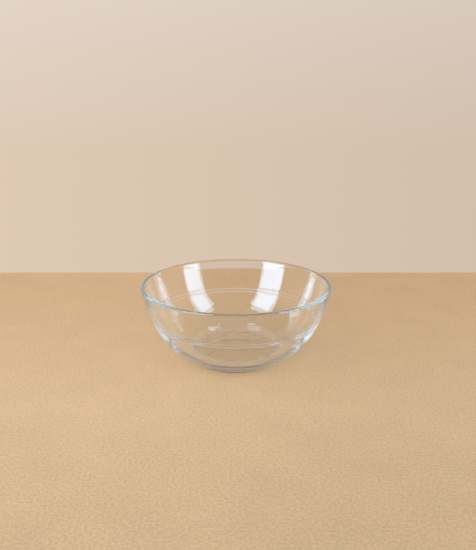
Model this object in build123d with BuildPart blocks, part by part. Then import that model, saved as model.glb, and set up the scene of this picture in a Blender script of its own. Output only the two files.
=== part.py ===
from build123d import *
import os
from math import cos, radians, sin

# A clear prep bowl of pressed glass. It is a single piece: one gob of glass takes the shape of the
# foot, the wall, the ring and the lip in one press, so nothing on it comes apart.
# Sizes are in millimetres. Z is the bowl's axis, and the bowl stands on the plane Z = 0.

# Lip
rim_diameter = 120.0  # outside, across the lip
bowl_height = 49.6  # from the table to the top of the lip
lip_thickness = 2.6  # the lip is a full round of this thickness
lip_lean = 12.0  # degrees that the outside of the wall leans outwards where it meets the lip
inside_lean = 15.0  # the same on the inside, where more lean thickens the wall downwards

# Ring of two fine raised lines round the outside of the wall
ring_diameter = 107.5  # outside of the wall at the ring
ring_height = 28.5  # from the table to the middle of the ring
ring_spacing = 2.1  # between the middles of the two lines, along the wall
line_width = 0.9  # of each line, along the wall
line_height = 0.18  # how far each line stands out from the wall

# Foot
foot_diameter = 54.0  # outside of the face that the bowl stands on
foot_width = 4.5  # width of that face
foot_height = 1.4  # from the table to where the wall springs from the foot
foot_flare = 1.4  # how far the foot spreads over that height
foot_edge = 0.5  # rounding of the foot's outer edge
base_dome = 1.2  # rise of the hollow under the base, at the axis

# Inside
ring_wall = 3.6  # thickness of the wall at the ring, measured level
base_thickness = 7.0  # glass at the axis, between the floor and the hollow
floor_inset = 21.75  # how much further in than the ring the inner floor ends, before its corner is rounded
floor_corner = 5.0  # rounding between the inner floor and the wall

# Points of the half section, radius first and height second
lip_centre = (rim_diameter / 2 - lip_thickness / 2, bowl_height - lip_thickness / 2)
ring_middle = Vector(ring_diameter / 2, ring_height)
wall_start = (foot_diameter / 2 + foot_flare, foot_height)
foot_outer = (foot_diameter / 2, 0)
foot_inner = (foot_diameter / 2 - foot_width, 0)
dome_top = (0, base_dome)
floor_middle = (0, base_dome + base_thickness)
floor_end = (ring_diameter / 2 - floor_inset, base_dome + base_thickness)
wall_inside_ring = (ring_diameter / 2 - ring_wall, ring_height)

# Ways down along the wall just below the lip, outside and inside
down_outside = (-sin(radians(lip_lean)), -cos(radians(lip_lean)))
down_inside = (-sin(radians(inside_lean)), -cos(radians(inside_lean)))

# Each raised line is the part of a round that breaks through the wall's face
line_round = (line_height**2 + (line_width / 2) ** 2) / (2 * line_height)

# Bowl: its half section is drawn as one closed outline and turned about the axis
with BuildPart() as glass_bowl:
    with BuildSketch(Plane.XZ) as section:
        with BuildLine():
            lip = CenterArc(lip_centre, lip_thickness / 2, -lip_lean, 180 + lip_lean - inside_lean)
            upper_wall = TangentArc(lip @ 0, ring_middle, tangent=down_outside)
            TangentArc(ring_middle, wall_start, tangent=upper_wall % 1)
            Polyline(wall_start, foot_outer, foot_inner)
            TangentArc(dome_top, foot_inner, tangent=(1, 0))
            Polyline(dome_top, floor_middle, floor_end)
            upper_inside = TangentArc(lip @ 1, wall_inside_ring, tangent=down_inside)
            TangentArc(wall_inside_ring, floor_end, tangent=upper_inside % 1)
        make_face()
        fillet(section.vertices().sort_by_distance(floor_end)[0], floor_corner)
        fillet(section.vertices().sort_by_distance(foot_outer)[0], foot_edge)

        # The two lines lie either side of the ring's middle, along the slope of the wall there
        down_wall = upper_wall % 1
        into_wall = down_wall.rotate(Axis.Z, -90)
        sunk_middle = ring_middle + into_wall * (line_round - line_height)
        half_spacing = down_wall * (ring_spacing / 2)
        with Locations(sunk_middle - half_spacing, sunk_middle + half_spacing):
            Circle(line_round)
    revolve(axis=Axis.Z)

glass_bowl.part.label = "glass_bowl"
os.makedirs("parts", exist_ok=True)
export_step(glass_bowl.part, "parts/glass_bowl.step")
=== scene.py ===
import math

import bmesh
import bpy
from bpy.props import FloatProperty, FloatVectorProperty, IntProperty, PointerProperty
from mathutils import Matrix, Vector


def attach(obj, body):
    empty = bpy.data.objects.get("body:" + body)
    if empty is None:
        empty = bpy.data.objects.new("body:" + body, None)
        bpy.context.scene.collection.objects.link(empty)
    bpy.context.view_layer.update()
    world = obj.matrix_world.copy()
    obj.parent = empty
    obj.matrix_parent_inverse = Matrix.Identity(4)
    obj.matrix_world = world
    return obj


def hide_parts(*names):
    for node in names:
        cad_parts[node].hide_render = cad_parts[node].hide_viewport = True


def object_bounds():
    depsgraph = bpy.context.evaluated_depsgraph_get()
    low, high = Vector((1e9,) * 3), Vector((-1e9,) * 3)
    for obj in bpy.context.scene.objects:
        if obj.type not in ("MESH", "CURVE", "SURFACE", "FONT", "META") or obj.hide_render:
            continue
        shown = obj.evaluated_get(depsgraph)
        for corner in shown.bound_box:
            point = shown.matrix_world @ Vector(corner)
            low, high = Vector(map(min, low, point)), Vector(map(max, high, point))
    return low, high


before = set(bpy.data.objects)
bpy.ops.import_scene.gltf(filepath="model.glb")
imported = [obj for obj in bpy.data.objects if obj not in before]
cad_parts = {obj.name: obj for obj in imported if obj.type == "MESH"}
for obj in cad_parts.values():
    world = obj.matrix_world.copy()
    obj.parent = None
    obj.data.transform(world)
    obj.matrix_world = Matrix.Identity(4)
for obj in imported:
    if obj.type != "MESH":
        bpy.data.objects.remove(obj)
CAD_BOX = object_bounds()

bl_info = {
    "name": "Pressed glass prep bowl",
    "version": (1, 0, 0),
    "blender": (4, 5, 0),
    "location": "View3D > Sidebar > Prep Bowl",
    "description": "Draws a clear pressed glass bowl, and the table and light that it stands in",
    "category": "Add Mesh",
}

MM = 0.001
CAD_WIDTH = CAD_BOX[1][0] - CAD_BOX[0][0]
CAD_HEIGHT = CAD_BOX[1][2] - CAD_BOX[0][2]

# Steps in each stretch of the bowl's half section
STEPS = {
    "hollow": 20, "standing_face": 6, "foot_edge": 6, "foot_side": 4, "lower_wall": 44, "raised_line": 8,
    "between_lines": 3, "upper_wall": 28, "lip": 20, "upper_inside": 28, "lower_inside": 36,
    "floor_corner": 24, "floor": 3,
}

# Points of the bowl that are closer than this are one point
MERGE_DISTANCE = 0.001 * MM

# Light that runs round inside the wall turns back many times before it leaves
GLASS_BOUNCES = 96

# Bounces after which the ripples have mixed the light, so that it shows no image of the room
MIXING_BOUNCES = 9

# Filter of glossy light, where more would darken the table under the glass
GLOSS_FILTER = 0.2

# Camera: its place, how far it looks down in degrees and its lens in millimetres
CAMERA_PLACE = Vector((1.17, -461.8, 191.2)) * MM
CAMERA_DIP = 16.42
CAMERA_LENS = 50

# Table: from its middle to each edge in metres, and the gap that keeps it clear of the foot
TABLE_REACH = 1.0
TABLE_GAP = 0.05 * MM

# Softness of the backdrop's top, as a part of a unit vector
BACKDROP_FADE = 0.05

# Soft boxes: bearing and rise in degrees, width and height in metres and power in watts
SOFT_BOXES = {
    "front_left": (-52.5, 30.5, 0.59, 0.98, 16.4),
    "front_right": (63.7, 29.5, 0.46, 0.94, 10.9),
    "rear_left": (-120, 13, 0.24, 0.66, 2.1),
    "rear_right": (122, 7, 0.22, 0.44, 1.0),
}
SOFT_BOX_DISTANCE = 1.1
BOWL_MIDDLE = Vector((0, 0, 20 * MM))


def linear(hex_colour):
    """Turns an sRGB hex colour into linear red, green and blue."""
    channels = [int(hex_colour[i:i + 2], 16) / 255 for i in (1, 3, 5)]
    return tuple(c / 12.92 if c <= 0.04045 else ((c + 0.055) / 1.055) ** 2.4 for c in channels)


def length(name, description, default):
    """A property that holds a length in metres."""
    return FloatProperty(name=name, description=description, default=default, unit="LENGTH", precision=5)


def angle(name, description, degrees):
    """A property that holds an angle, given here in degrees."""
    return FloatProperty(name=name, description=description, default=math.radians(degrees), subtype="ANGLE")


def colour(name, description, hex_colour):
    """A property that holds a colour, given here as sRGB hex."""
    return FloatVectorProperty(
        name=name, description=description, default=linear(hex_colour), subtype="COLOR", min=0.0, max=1.0
    )


def amount(name, description, default):
    """A property that holds a plain number."""
    return FloatProperty(name=name, description=description, default=default)


class BowlSizes(bpy.types.PropertyGroup):
    rim_diameter: length("Rim diameter", "Outside, across the lip", CAD_WIDTH)
    height: length("Height", "From the table to the top of the lip", CAD_HEIGHT)
    lip_thickness: length("Lip thickness", "The lip is a full round of this thickness", 2.6 * MM)
    lip_lean: angle("Lip lean", "How far the outside leans where it meets the lip", 12.0)
    inside_lean: angle("Inside lean", "How far the inside leans where it meets the lip", 15.0)
    ring_diameter: length("Ring diameter", "Outside of the wall at the ring of raised lines", 107.5 * MM)
    ring_height: length("Ring height", "From the table to the middle of the ring", 28.5 * MM)
    ring_spacing: length("Ring spacing", "Between the middles of the ring's two raised lines", 2.1 * MM)
    line_width: length("Line width", "Width of each raised line", 0.9 * MM)
    line_height: length("Line height", "How far each line stands out from the wall", 0.18 * MM)
    foot_diameter: length("Foot diameter", "Outside of the face that the bowl stands on", 54.0 * MM)
    foot_width: length("Foot width", "Width of that face", 4.5 * MM)
    foot_height: length("Foot height", "From the table to where the wall springs from the foot", 1.4 * MM)
    foot_flare: length("Foot flare", "How far the foot spreads over its height", 1.4 * MM)
    foot_edge: length("Foot edge", "Rounding of the foot's outer edge", 0.5 * MM)
    base_dome: length("Base dome", "Rise of the hollow under the base, at the axis", 1.2 * MM)
    ring_wall: length("Ring wall", "Thickness of the wall at the ring, measured level", 3.6 * MM)
    base_thickness: length("Base thickness", "Glass at the axis", 7.0 * MM)
    floor_diameter: length("Floor diameter", "Inner floor, before its corner is rounded", 64.0 * MM)
    floor_corner: length("Floor corner", "Rounding between the inner floor and the wall", 5.0 * MM)
    turn_steps: IntProperty(name="Turn steps", description="Faces round the bowl", default=192, min=24)


class GlassLook(bpy.types.PropertyGroup):
    tint: colour("Tint", "Colour that thick glass takes on", "#cdedf3")
    tint_density: amount("Tint density", "Strength of the tint, per metre", 2.5)
    ior: amount("IOR", "Bend of light in soda lime glass", 1.52)
    ripple_size: length("Ripple size", "Width of the fine ripples that run round the wall", 2.4 * MM)
    ripple_height: length("Ripple height", "Height of those ripples", 0.05 * MM)
    ripple_start: length("Ripple start", "Height above the table where they begin", 10.0 * MM)
    ripple_full: length("Ripple full", "Height above the table where they are strongest", 34.0 * MM)
    ripple_centre: length("Ripple centre", "Height of the point that the wall curves round", 52.0 * MM)
    ripple_reach: length("Ripple reach", "From that point to the wall", 56.0 * MM)
    wave_size: length("Wave size", "Width of the faint waves left by the press", 18.0 * MM)
    wave_height: length("Wave height", "Height of those waves", 0.001 * MM)
    wear_height: length("Wear height", "How far up the foot is scuffed", 0.12 * MM)
    scuff_size: length("Scuff size", "Grain of the scuffs on the foot", 0.6 * MM)
    scuff_roughness: FloatProperty(
        name="Scuff roughness", description="Roughness of the deepest scuffs", default=0.5, subtype="FACTOR",
        min=0.0, max=1.0,
    )


class SoftBox(bpy.types.PropertyGroup):
    bearing: angle("Bearing", "From the camera round to the right, to the middle of the soft box", 0.0)
    rise: angle("Rise", "From the table up to its middle", 22.0)
    width: length("Width", "Across the soft box", 0.5)
    height: length("Height", "From its foot to its top", 0.75)
    power: FloatProperty(name="Power", description="Light that it gives", default=8.0, unit="POWER")


class StageLook(bpy.types.PropertyGroup):
    # The far colour is darker than the near one: painted shade towards the table's far edge
    table_near: colour("Table near", "Colour of the table in front of the bowl", "#d9ba93")
    table_far: colour("Table far", "Colour of the table towards its far edge", "#d1ae85")
    table_edge: length("Table edge", "From the bowl's axis back to the far edge", 195.0 * MM)
    table_grain: length("Table grain", "Width of the table's fine grain", 1.4 * MM)
    table_drift: length("Table drift", "Width of its faint patches", 30.0 * MM)
    # The backdrop's lower colour is darker than its top: painted shade near the table's edge
    backdrop: colour("Backdrop", "Colour behind the table", "#dac5b1")
    backdrop_top: colour("Backdrop top", "Colour higher up behind the table", "#dfd0c3")
    backdrop_rise: angle("Backdrop rise", "How far up from level the backdrop reaches", 18.5)
    side_walls: colour("Side walls", "Colour of the room at the left and right", "#d8cabd")
    room: colour("Room", "Colour of the rest of the room", "#5f5c59")
    mixed_bright: colour("Mixed bright", "Mixed light that comes from the soft boxes", "#e6f3ff")
    mixed_dark: colour("Mixed dark", "Mixed light that comes from elsewhere", "#8c8780")
    mixed_gain: amount("Mixed gain", "Brightness of the bright mixed light", 1.4)
    ambient: amount("Ambient", "Soft light from all round", 1.0)
    ambient_left: amount("Ambient left", "How much more of it comes from the left", 0.25)
    ambient_front: amount("Ambient front", "How much more of it comes from the front", 0.65)
    lamp: colour("Lamp", "Colour of the soft boxes", "#b5dbfb")
    front_left: PointerProperty(type=SoftBox, name="Front left", description="In front, to the left")
    front_right: PointerProperty(type=SoftBox, name="Front right", description="In front, to the right")
    rear_left: PointerProperty(type=SoftBox, name="Rear left", description="Dim and behind, to the left")
    rear_right: PointerProperty(type=SoftBox, name="Rear right", description="Dim and behind, to the right")


class SectionPen:
    """Draws a half section in the XZ plane with bmesh operators. It keeps its place and its heading,
    which is an angle from the X axis towards the Z axis."""

    def __init__(self, bowl_mesh, start, heading):
        self.bowl_mesh = bowl_mesh
        self.tip = bmesh.ops.create_vert(bowl_mesh, co=(start[0], 0, start[1]))["vert"][0]
        self.heading = heading

    @property
    def place(self):
        return Vector((self.tip.co.x, self.tip.co.z))

    def line_to(self, end, steps):
        """A straight run in equal steps."""
        run = Vector(end) - self.place
        step = Vector((run.x, 0, run.y)) / steps
        for _ in range(steps):
            self.tip = bmesh.ops.extrude_vert_indiv(self.bowl_mesh, verts=[self.tip])["verts"][0]
            bmesh.ops.translate(self.bowl_mesh, verts=[self.tip], vec=step)
        self.heading = math.atan2(run.y, run.x)

    def arc(self, radius, turn, steps):
        """A round stretch. A positive turn is to the left."""
        side = math.copysign(radius, turn)
        centre = self.place + side * Vector((-math.sin(self.heading), math.cos(self.heading)))
        spun = bmesh.ops.spin(
            self.bowl_mesh, geom=[self.tip], cent=(centre.x, 0, centre.y), axis=(0, -1, 0),
            angle=turn, steps=steps,
        )
        self.tip = [part for part in spun["geom_last"] if isinstance(part, bmesh.types.BMVert)][0]
        self.heading += turn

    def arc_to(self, end, steps):
        """A round stretch that leaves along the heading and reaches the end."""
        radius, turn = arc_between(self.place, self.heading, end)
        self.arc(radius, turn, steps)


def arc_between(start, heading, end):
    """Radius and turn of the arc that leaves start along the heading and reaches the end."""
    run = Vector(end) - Vector(start)
    swing = math.atan2(run.y, run.x) - heading
    half_turn = (swing + math.pi) % math.tau - math.pi
    return run.length / 2 / abs(math.sin(half_turn)), 2 * half_turn


def heading_before(start, end, heading_at_end):
    """Heading at the start of the arc that reaches the end along a given heading."""
    run = Vector(end) - Vector(start)
    return 2 * math.atan2(run.y, run.x) - heading_at_end


def draw_section(bowl_mesh, sizes):
    """The bowl's half section: out under the base, up the outside, over the lip and down the inside."""
    lip_round = sizes.lip_thickness / 2
    lip_centre = Vector((sizes.rim_diameter / 2 - lip_round, sizes.height - lip_round))
    lip_outer = lip_centre + lip_round * Vector((math.cos(sizes.lip_lean), -math.sin(sizes.lip_lean)))
    ring_middle = Vector((sizes.ring_diameter / 2, sizes.ring_height))
    foot_outer = Vector((sizes.foot_diameter / 2, 0))
    foot_inner = foot_outer - Vector((sizes.foot_width, 0))
    wall_start = foot_outer + Vector((sizes.foot_flare, sizes.foot_height))
    floor_level = sizes.base_dome + sizes.base_thickness
    floor_end = Vector((sizes.floor_diameter / 2, floor_level))
    wall_inside_ring = ring_middle - Vector((sizes.ring_wall, 0))

    # Headings up the outside
    up_to_lip = math.pi / 2 - sizes.lip_lean
    along_ring = heading_before(ring_middle, lip_outer, up_to_lip)
    ring_run = Vector((math.cos(along_ring), math.sin(along_ring)))
    half_ring = (sizes.ring_spacing + sizes.line_width) / 2 * ring_run
    ring_foot = ring_middle - half_ring
    ring_top = ring_middle + half_ring
    above_ring = heading_before(ring_top, lip_outer, up_to_lip)
    up_from_foot = heading_before(wall_start, ring_foot, above_ring)

    # Hollow under the base and the standing face, marked as outside, as is all up to the lip
    outside = bowl_mesh.verts.layers.float.new("outside")
    pen = SectionPen(bowl_mesh, (0, sizes.base_dome), 0)
    pen.tip[outside] = 1.0
    pen.arc_to(foot_inner, STEPS["hollow"])
    flare = math.atan2(sizes.foot_height, sizes.foot_flare)
    edge_start = foot_outer - Vector((sizes.foot_edge * math.tan(flare / 2), 0))
    pen.line_to(edge_start, STEPS["standing_face"])
    pen.arc(sizes.foot_edge, flare, STEPS["foot_edge"])
    pen.line_to(wall_start, STEPS["foot_side"])

    # Outside of the wall, with the ring's two raised lines
    pen.heading = up_from_foot
    pen.arc_to(ring_foot, STEPS["lower_wall"])
    line_round = (sizes.line_height ** 2 + (sizes.line_width / 2) ** 2) / (2 * sizes.line_height)
    line_turn = math.asin(sizes.line_width / 2 / line_round)
    for gap in (sizes.ring_spacing - sizes.line_width, 0):
        pen.heading = along_ring - line_turn
        pen.arc(line_round, 2 * line_turn, STEPS["raised_line"])
        if gap:
            pen.line_to(pen.place + gap * ring_run, STEPS["between_lines"])
    pen.heading = above_ring
    pen.arc_to(lip_outer, STEPS["upper_wall"])

    # Lip and inside of the wall
    pen.arc(lip_round, math.pi - sizes.inside_lean + sizes.lip_lean, STEPS["lip"])
    pen.tip[outside] = 0.0
    pen.arc_to(wall_inside_ring, STEPS["upper_inside"])

    # The rounded corner touches the wall's arc from within, and ends level on the inner floor
    wall_round, _ = arc_between(pen.place, pen.heading, floor_end)
    wall_centre = pen.place + wall_round * Vector((math.sin(pen.heading), -math.cos(pen.heading)))
    from_centre = pen.place - wall_centre
    corner_rise = floor_level + sizes.floor_corner - wall_centre.y
    corner_out = math.sqrt((wall_round - sizes.floor_corner) ** 2 - corner_rise ** 2)
    touch = math.atan2(corner_rise, corner_out) - math.atan2(from_centre.y, from_centre.x)
    pen.arc(wall_round, touch, STEPS["lower_inside"])
    pen.arc(sizes.floor_corner, math.pi - pen.heading, STEPS["floor_corner"])
    pen.line_to((0, floor_level), STEPS["floor"])


def add_node(tree, kind, inputs=None, links=None, **attributes):
    """Adds a node with its attributes, the values of its input sockets and the outputs that feed them."""
    node = tree.nodes.new(kind)
    for name, value in attributes.items():
        setattr(node, name, value)
    for socket, value in (inputs or {}).items():
        node.inputs[socket].default_value = value
    for socket, source in (links or {}).items():
        tree.links.new(source, node.inputs[socket])
    return node


def blank_material(name):
    """A material with an empty node tree."""
    material = bpy.data.materials.new(name)
    material.use_nodes = True
    material.node_tree.nodes.clear()
    return material


def pressed_soda_lime_glass(look):
    """Clear pressed soda lime glass. The press leaves its faces bright, with fine ripples round the
    outside and a faint slow wave. Thick glass looks slightly blue, and use scuffs the ring that it
    stands on to a dull grey."""
    material = blank_material("pressed_soda_lime_glass")
    tree = material.node_tree
    place = add_node(tree, "ShaderNodeTexCoord").outputs["Object"]
    height = add_node(tree, "ShaderNodeSeparateXYZ", None, {"Vector": place}).outputs["Z"]

    # Ripples of the turned mould, which run round the bowl and follow each other along the wall
    level = add_node(tree, "ShaderNodeVectorMath", {1: (1, 1, 0)}, {0: place}, operation="MULTIPLY")
    reach = add_node(
        tree, "ShaderNodeVectorMath", None, {0: level.outputs["Vector"]}, operation="LENGTH"
    )
    rise = add_node(
        tree, "ShaderNodeMath", {1: look.ripple_centre}, {0: height}, operation="SUBTRACT"
    )
    swing = add_node(
        tree, "ShaderNodeMath", None, {0: rise.outputs["Value"], 1: reach.outputs["Value"]},
        operation="ARCTAN2",
    )
    ripples = add_node(
        tree, "ShaderNodeTexNoise", {"Scale": look.ripple_reach / look.ripple_size, "Detail": 0.0},
        {"W": swing.outputs["Value"]}, noise_dimensions="1D",
    )
    outside = add_node(tree, "ShaderNodeAttribute", attribute_name="outside").outputs["Fac"]
    risen = add_node(
        tree, "ShaderNodeMapRange", {"From Min": look.ripple_start, "From Max": look.ripple_full},
        {"Value": height, "To Max": outside},
    )
    rippled = add_node(
        tree, "ShaderNodeBump", {"Distance": look.ripple_height},
        {"Height": ripples.outputs["Fac"], "Strength": risen.outputs["Result"]},
    )

    # Slow waves of the press
    waves = add_node(
        tree, "ShaderNodeTexNoise", {"Scale": 1 / look.wave_size, "Detail": 1.0}, {"Vector": place}
    )
    waved = add_node(
        tree, "ShaderNodeBump", {"Distance": look.wave_height, "Strength": 1.0},
        {"Height": waves.outputs["Fac"], "Normal": rippled.outputs["Normal"]},
    )

    # Scuffs on the standing face
    worn = add_node(
        tree, "ShaderNodeMapRange",
        {"From Min": look.wear_height, "From Max": 0.0, "To Min": 0.0, "To Max": 1.0}, {"Value": height},
    )
    scuffs = add_node(
        tree, "ShaderNodeTexNoise", {"Scale": 1 / look.scuff_size, "Detail": 3.0}, {"Vector": place}
    )
    scuffed = add_node(
        tree, "ShaderNodeMath", None, {0: worn.outputs["Result"], 1: scuffs.outputs["Fac"]},
        operation="MULTIPLY",
    )
    roughness = add_node(
        tree, "ShaderNodeMapRange", {"To Min": 0.0, "To Max": look.scuff_roughness},
        {"Value": scuffed.outputs["Value"]},
    )

    surface = add_node(
        tree, "ShaderNodeBsdfPrincipled",
        {"Base Color": (1, 1, 1, 1), "Transmission Weight": 1.0, "IOR": look.ior},
        {"Roughness": roughness.outputs["Result"], "Normal": waved.outputs["Normal"]},
    )
    depth = add_node(
        tree, "ShaderNodeVolumeAbsorption", {"Color": (*look.tint, 1), "Density": look.tint_density}
    )
    add_node(
        tree, "ShaderNodeOutputMaterial", None,
        {"Surface": surface.outputs["BSDF"], "Volume": depth.outputs["Volume"]},
    )
    return material


def satin_table_top(stage):
    """A plain satin table: a pale colour that drifts a little, a fine grain, no sharp reflections, and
    painted shade that darkens it to the right, at the front edge and towards the far edge.
    """
    material = blank_material("satin_table")
    tree = material.node_tree
    place = add_node(tree, "ShaderNodeTexCoord").outputs["Object"]
    axes = add_node(tree, "ShaderNodeSeparateXYZ", None, {"Vector": place}).outputs

    # Faint patches and fine grain
    patches = add_node(
        tree, "ShaderNodeTexNoise", {"Scale": 1 / stage.table_drift, "Detail": 3.0}, {"Vector": place}
    )
    grain = add_node(
        tree, "ShaderNodeTexNoise", {"Scale": 1 / stage.table_grain, "Detail": 2.0}, {"Vector": place}
    )
    slow = add_node(
        tree, "ShaderNodeMapRange", {"To Min": 0.93, "To Max": 1.07}, {"Value": patches.outputs["Fac"]}
    )
    fine = add_node(
        tree, "ShaderNodeMapRange", {"To Min": 0.7, "To Max": 1.3}, {"Value": grain.outputs["Fac"]}
    )

    # Painted shade: a little darker to the right and towards the front edge, where less light falls
    rightwards = add_node(
        tree, "ShaderNodeMapRange",
        {"From Min": -100 * MM, "From Max": 100 * MM, "To Min": 1.04, "To Max": 0.94},
        {"Value": axes["X"]}, interpolation_type="SMOOTHSTEP",
    )
    painted_front_shade = add_node(
        tree, "ShaderNodeMapRange",
        {"From Min": -200 * MM, "From Max": -80 * MM, "To Min": 0.92, "To Max": 1.0}, {"Value": axes["Y"]},
    )
    value = painted_front_shade.outputs["Result"]
    for share in (rightwards, slow, fine):
        value = add_node(
            tree, "ShaderNodeMath", None, {0: value, 1: share.outputs["Result"]}, operation="MULTIPLY"
        ).outputs["Value"]

    # Painted shade: paler in front of the bowl than towards the far edge, which gets less light
    away = add_node(
        tree, "ShaderNodeMapRange", {"From Min": -70 * MM, "From Max": 150 * MM}, {"Value": axes["Y"]}
    )
    plain = add_node(
        tree, "ShaderNodeMix", {"A": (*stage.table_near, 1), "B": (*stage.table_far, 1)},
        {"Factor": away.outputs["Result"]}, data_type="RGBA",
    )
    shade = add_node(
        tree, "ShaderNodeHueSaturation", None, {"Color": plain.outputs["Result"], "Value": value}
    )
    surface = add_node(
        tree, "ShaderNodeBsdfPrincipled", {"Roughness": 0.8, "Specular IOR Level": 0.1},
        {"Base Color": shade.outputs["Color"]},
    )
    add_node(tree, "ShaderNodeOutputMaterial", None, {"Surface": surface.outputs["BSDF"]})
    return material


def new_object(name, shape, material):
    """Puts a finished bmesh into the scene as an object at the origin."""
    mesh = bpy.data.meshes.new(name)
    shape.to_mesh(mesh)
    shape.free()
    mesh.materials.append(material)
    thing = bpy.data.objects.new(name, mesh)
    bpy.context.scene.collection.objects.link(thing)
    return thing


class PREPBOWL_OT_bowl(bpy.types.Operator):
    """Turns the half section about the axis and gives it the pressed glass"""

    bl_idname = "prep_bowl.bowl"
    bl_label = "Glass Bowl"

    def execute(self, context):
        sizes = context.scene.bowl_sizes
        shape = bmesh.new()
        draw_section(shape, sizes)
        bmesh.ops.spin(
            shape, geom=shape.verts[:] + shape.edges[:], cent=(0, 0, 0), axis=(0, 0, 1),
            angle=math.tau, steps=sizes.turn_steps, use_merge=True,
        )
        bmesh.ops.remove_doubles(shape, verts=shape.verts, dist=MERGE_DISTANCE)
        bmesh.ops.recalc_face_normals(shape, faces=shape.faces)
        for face in shape.faces:
            face.smooth = True
        glass = pressed_soda_lime_glass(context.scene.glass_look)
        bowl = new_object("pressed_glass_bowl", shape, glass)
        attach(bowl, "root")
        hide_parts("glass_bowl")
        return {"FINISHED"}


def clear_sight(tree):
    """One for light that is seen clearly, and nought for light that the wall or the table has mixed."""
    path = add_node(tree, "ShaderNodeLightPath").outputs
    depth = add_node(
        tree, "ShaderNodeMath", {1: MIXING_BOUNCES}, {0: path["Diffuse Depth"], 2: path["Ray Depth"]},
        operation="MULTIPLY_ADD",
    )
    clear = add_node(
        tree, "ShaderNodeMath", {1: MIXING_BOUNCES}, {0: depth.outputs["Value"]}, operation="LESS_THAN"
    )
    return clear.outputs["Value"]


def place_soft_box(name, soft_box, tint):
    """A soft box a little over a metre from the bowl, turned to face it."""
    lamp = bpy.data.lights.new(name, "AREA")
    lamp.shape = "RECTANGLE"
    lamp.size = soft_box.width
    lamp.size_y = soft_box.height
    lamp.energy = soft_box.power
    lamp.color = tint
    lamp.use_nodes = True
    tree = lamp.node_tree
    tree.nodes.clear()
    glow = add_node(tree, "ShaderNodeEmission", None, {"Strength": clear_sight(tree)})
    add_node(tree, "ShaderNodeOutputLight", None, {"Surface": glow.outputs["Emission"]})
    box = bpy.data.objects.new(name, lamp)
    level = Vector((math.sin(soft_box.bearing), -math.cos(soft_box.bearing), 0)) * math.cos(soft_box.rise)
    box.location = SOFT_BOX_DISTANCE * (level + Vector((0, 0, math.sin(soft_box.rise))))
    box.rotation_euler = (BOWL_MIDDLE - box.location).to_track_quat("-Z", "Y").to_euler()
    box.visible_camera = False
    box.visible_diffuse = False
    bpy.context.scene.collection.objects.link(box)


def backdrop_share(tree, stage, axes):
    """One towards the backdrop, which stands behind the table up to its own rise, and nought elsewhere."""
    behind = add_node(
        tree, "ShaderNodeMapRange", {"From Min": 0.3, "From Max": 0.6}, {"Value": axes["Y"]}
    )
    top = math.sin(stage.backdrop_rise)
    below_top = add_node(
        tree, "ShaderNodeMapRange", {"From Min": top + BACKDROP_FADE, "From Max": top - BACKDROP_FADE},
        {"Value": axes["Z"]},
    )
    both = add_node(
        tree, "ShaderNodeMath", None, {0: behind.outputs["Result"], 1: below_top.outputs["Result"]},
        operation="MULTIPLY",
    )
    return both.outputs["Value"]


def clear_room(tree, stage, axes, aside, paper):
    """The room as it is seen clearly: dim, pale at the far left and right, and a warm backdrop with painted
    shade, lighter higher up and on the left, darker low down near the table and towards the right."""
    beside = add_node(tree, "ShaderNodeMapRange", {"From Min": 0.75, "From Max": 0.95}, {"Value": aside})
    walls = add_node(
        tree, "ShaderNodeMix", {"A": (*stage.room, 1), "B": (*stage.side_walls, 1)},
        {"Factor": beside.outputs["Result"]}, data_type="RGBA",
    )
    # Painted shade: the backdrop darker low down, near the table's edge
    upwards = add_node(
        tree, "ShaderNodeMapRange", {"From Min": -0.12, "From Max": 0.06}, {"Value": axes["Z"]}
    )
    sweep = add_node(
        tree, "ShaderNodeMix", {"A": (*stage.backdrop, 1), "B": (*stage.backdrop_top, 1)},
        {"Factor": upwards.outputs["Result"]}, data_type="RGBA",
    )
    # Painted shade: the backdrop darker towards the right
    rightwards = add_node(
        tree, "ShaderNodeMapRange", {"From Min": -0.3, "From Max": 0.3, "To Min": 1.05, "To Max": 0.93},
        {"Value": axes["X"]},
    )
    backdrop = add_node(
        tree, "ShaderNodeHueSaturation", None,
        {"Color": sweep.outputs["Result"], "Value": rightwards.outputs["Result"]},
    )
    view = add_node(
        tree, "ShaderNodeMix", None,
        {"Factor": paper, "A": walls.outputs["Result"], "B": backdrop.outputs["Color"]}, data_type="RGBA",
    )
    return view.outputs["Result"]


def mixed_room(tree, stage, axes, aside, paper):
    """The room as the wall mixes it: bright where the soft boxes stand in front, a little weaker on the
    right, and dim elsewhere."""
    lamp_side = add_node(tree, "ShaderNodeMapRange", {"From Min": 0.5, "From Max": 0.58}, {"Value": aside})
    ahead = add_node(
        tree, "ShaderNodeMapRange", {"From Min": 0.3, "From Max": 0.1}, {"Value": axes["Y"]}
    )
    below_top = add_node(
        tree, "ShaderNodeMapRange", {"From Min": 0.68, "From Max": 0.6}, {"Value": axes["Z"]}
    )
    rightwards = add_node(
        tree, "ShaderNodeMapRange", {"From Min": -0.3, "From Max": 0.3, "To Min": 1.0, "To Max": 0.7},
        {"Value": axes["X"]},
    )
    front = lamp_side.outputs["Result"]
    for share in (ahead, below_top, rightwards):
        front = add_node(
            tree, "ShaderNodeMath", None, {0: front, 1: share.outputs["Result"]}, operation="MULTIPLY"
        ).outputs["Value"]
    dim = add_node(
        tree, "ShaderNodeMix", {"A": (*stage.mixed_dark, 1), "B": (*stage.backdrop, 1)},
        {"Factor": paper}, data_type="RGBA",
    )
    bright = [stage.mixed_gain * channel for channel in stage.mixed_bright]
    mixed = add_node(
        tree, "ShaderNodeMix", {"B": (*bright, 1)}, {"Factor": front, "A": dim.outputs["Result"]},
        data_type="RGBA",
    )
    return mixed.outputs["Result"]


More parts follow.
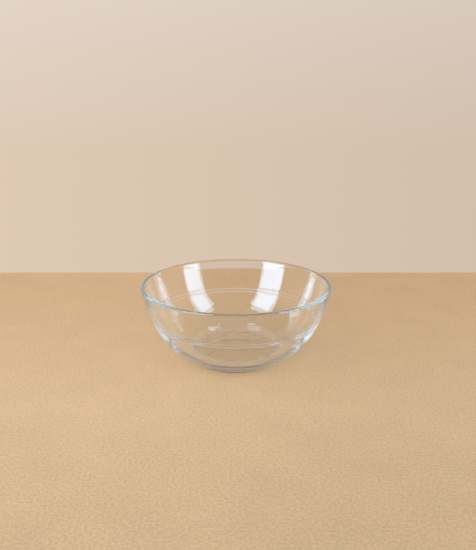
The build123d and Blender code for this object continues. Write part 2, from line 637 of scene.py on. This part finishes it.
def pale_room(stage):
    """The world. The camera and the glass see the room, and a soft light from all round, a little
    stronger from the front and the left, falls on the table."""
    world = bpy.data.worlds.new("pale_room")
    world.use_nodes = True
    tree = world.node_tree
    tree.nodes.clear()

    # A direction is a unit vector, with X to the right, Y away from the camera and Z up
    direction = add_node(tree, "ShaderNodeTexCoord").outputs["Generated"]
    axes = add_node(tree, "ShaderNodeSeparateXYZ", None, {"Vector": direction}).outputs
    aside = add_node(tree, "ShaderNodeMath", None, {0: axes["X"]}, operation="ABSOLUTE").outputs["Value"]

    # What is seen
    paper = backdrop_share(tree, stage, axes)
    clear = clear_room(tree, stage, axes, aside, paper)
    mixed = mixed_room(tree, stage, axes, aside, paper)
    shown = add_node(
        tree, "ShaderNodeMix", None, {"Factor": clear_sight(tree), "A": mixed, "B": clear}, data_type="RGBA"
    )
    seen = add_node(tree, "ShaderNodeBackground", None, {"Color": shown.outputs["Result"]})

    # What falls on the table
    slant = add_node(
        tree, "ShaderNodeVectorMath", {1: (-stage.ambient_left, -stage.ambient_front, 0)}, {0: direction},
        operation="DOT_PRODUCT",
    )
    soft = add_node(
        tree, "ShaderNodeMath", {1: stage.ambient, 2: stage.ambient}, {0: slant.outputs["Value"]},
        operation="MULTIPLY_ADD",
    )
    light = add_node(
        tree, "ShaderNodeBackground", {"Color": (1, 1, 1, 1)}, {"Strength": soft.outputs["Value"]}
    )

    # The room is for the camera, and for glossy and transmitted light that has not met the table
    path = add_node(tree, "ShaderNodeLightPath").outputs
    glass = add_node(
        tree, "ShaderNodeMath", None, {0: path["Is Glossy Ray"], 1: path["Is Transmission Ray"]},
        operation="MAXIMUM",
    )
    sight = add_node(
        tree, "ShaderNodeMath", None, {0: path["Is Camera Ray"], 1: glass.outputs["Value"]},
        operation="MAXIMUM",
    )
    direct = add_node(
        tree, "ShaderNodeMath", {1: 1.0}, {0: path["Diffuse Depth"]}, operation="LESS_THAN"
    )
    plain = add_node(
        tree, "ShaderNodeMath", None, {0: sight.outputs["Value"], 1: direct.outputs["Value"]},
        operation="MULTIPLY",
    )
    choice = add_node(
        tree, "ShaderNodeMixShader", None,
        {0: plain.outputs["Value"], 1: light.outputs["Background"], 2: seen.outputs["Background"]},
    )
    add_node(tree, "ShaderNodeOutputWorld", None, {"Surface": choice.outputs["Shader"]})
    return world


class PREPBOWL_OT_stage(bpy.types.Operator):
    """Lays the table, lights it and sets the camera"""

    bl_idname = "prep_bowl.stage"
    bl_label = "Table, Light and Camera"

    def execute(self, context):
        scene = context.scene
        stage = scene.stage_look
        shape = bmesh.new()
        bmesh.ops.create_grid(shape, x_segments=1, y_segments=1, size=TABLE_REACH)
        middle = (0, stage.table_edge - TABLE_REACH, -TABLE_GAP)
        bmesh.ops.translate(shape, verts=shape.verts, vec=middle)
        new_object("table", shape, satin_table_top(stage))

        for name in SOFT_BOXES:
            place_soft_box(name, getattr(stage, name), stage.lamp)
        scene.world = pale_room(stage)

        lens = bpy.data.cameras.new("camera")
        lens.lens = CAMERA_LENS
        camera = bpy.data.objects.new("camera", lens)
        camera.location = CAMERA_PLACE
        camera.rotation_euler = (math.radians(90 - CAMERA_DIP), 0, 0)
        scene.collection.objects.link(camera)
        scene.camera = camera

        scene.view_settings.view_transform = "Standard"
        scene.cycles.max_bounces = GLASS_BOUNCES
        scene.cycles.transmission_bounces = GLASS_BOUNCES
        scene.cycles.glossy_bounces = GLASS_BOUNCES
        scene.cycles.blur_glossy = GLOSS_FILTER
        return {"FINISHED"}


class PREPBOWL_PT_panel(bpy.types.Panel):
    """Sizes, glass and stage of the bowl"""

    bl_label = "Prep Bowl"
    bl_idname = "PREPBOWL_PT_panel"
    bl_space_type = "VIEW_3D"
    bl_region_type = "UI"
    bl_category = "Prep Bowl"

    def draw(self, context):
        scene = context.scene
        soft_boxes = [getattr(scene.stage_look, name) for name in SOFT_BOXES]
        for group in (scene.bowl_sizes, scene.glass_look, scene.stage_look, *soft_boxes):
            box = self.layout.box()
            for name in group.__annotations__:
                if name not in SOFT_BOXES:
                    box.prop(group, name)
        self.layout.operator(PREPBOWL_OT_bowl.bl_idname)
        self.layout.operator(PREPBOWL_OT_stage.bl_idname)


GROUPS = {"bowl_sizes": BowlSizes, "glass_look": GlassLook, "stage_look": StageLook}
CLASSES = (SoftBox, *GROUPS.values(), PREPBOWL_OT_bowl, PREPBOWL_OT_stage, PREPBOWL_PT_panel)


def register():
    for cls in CLASSES:
        bpy.utils.register_class(cls)
    for name, group in GROUPS.items():
        setattr(bpy.types.Scene, name, PointerProperty(type=group))

    # A pointer has no default of its own, so the soft boxes get their places here
    for name, (bearing, rise, width, height, power) in SOFT_BOXES.items():
        soft_box = getattr(bpy.context.scene.stage_look, name)
        soft_box.bearing = math.radians(bearing)
        soft_box.rise = math.radians(rise)
        soft_box.width = width
        soft_box.height = height
        soft_box.power = power


def unregister():
    for name in GROUPS:
        delattr(bpy.types.Scene, name)
    for cls in reversed(CLASSES):
        bpy.utils.unregister_class(cls)


def main():
    register()
    bpy.ops.prep_bowl.bowl()
    bpy.ops.prep_bowl.stage()


if __name__ == "__main__":
    main()
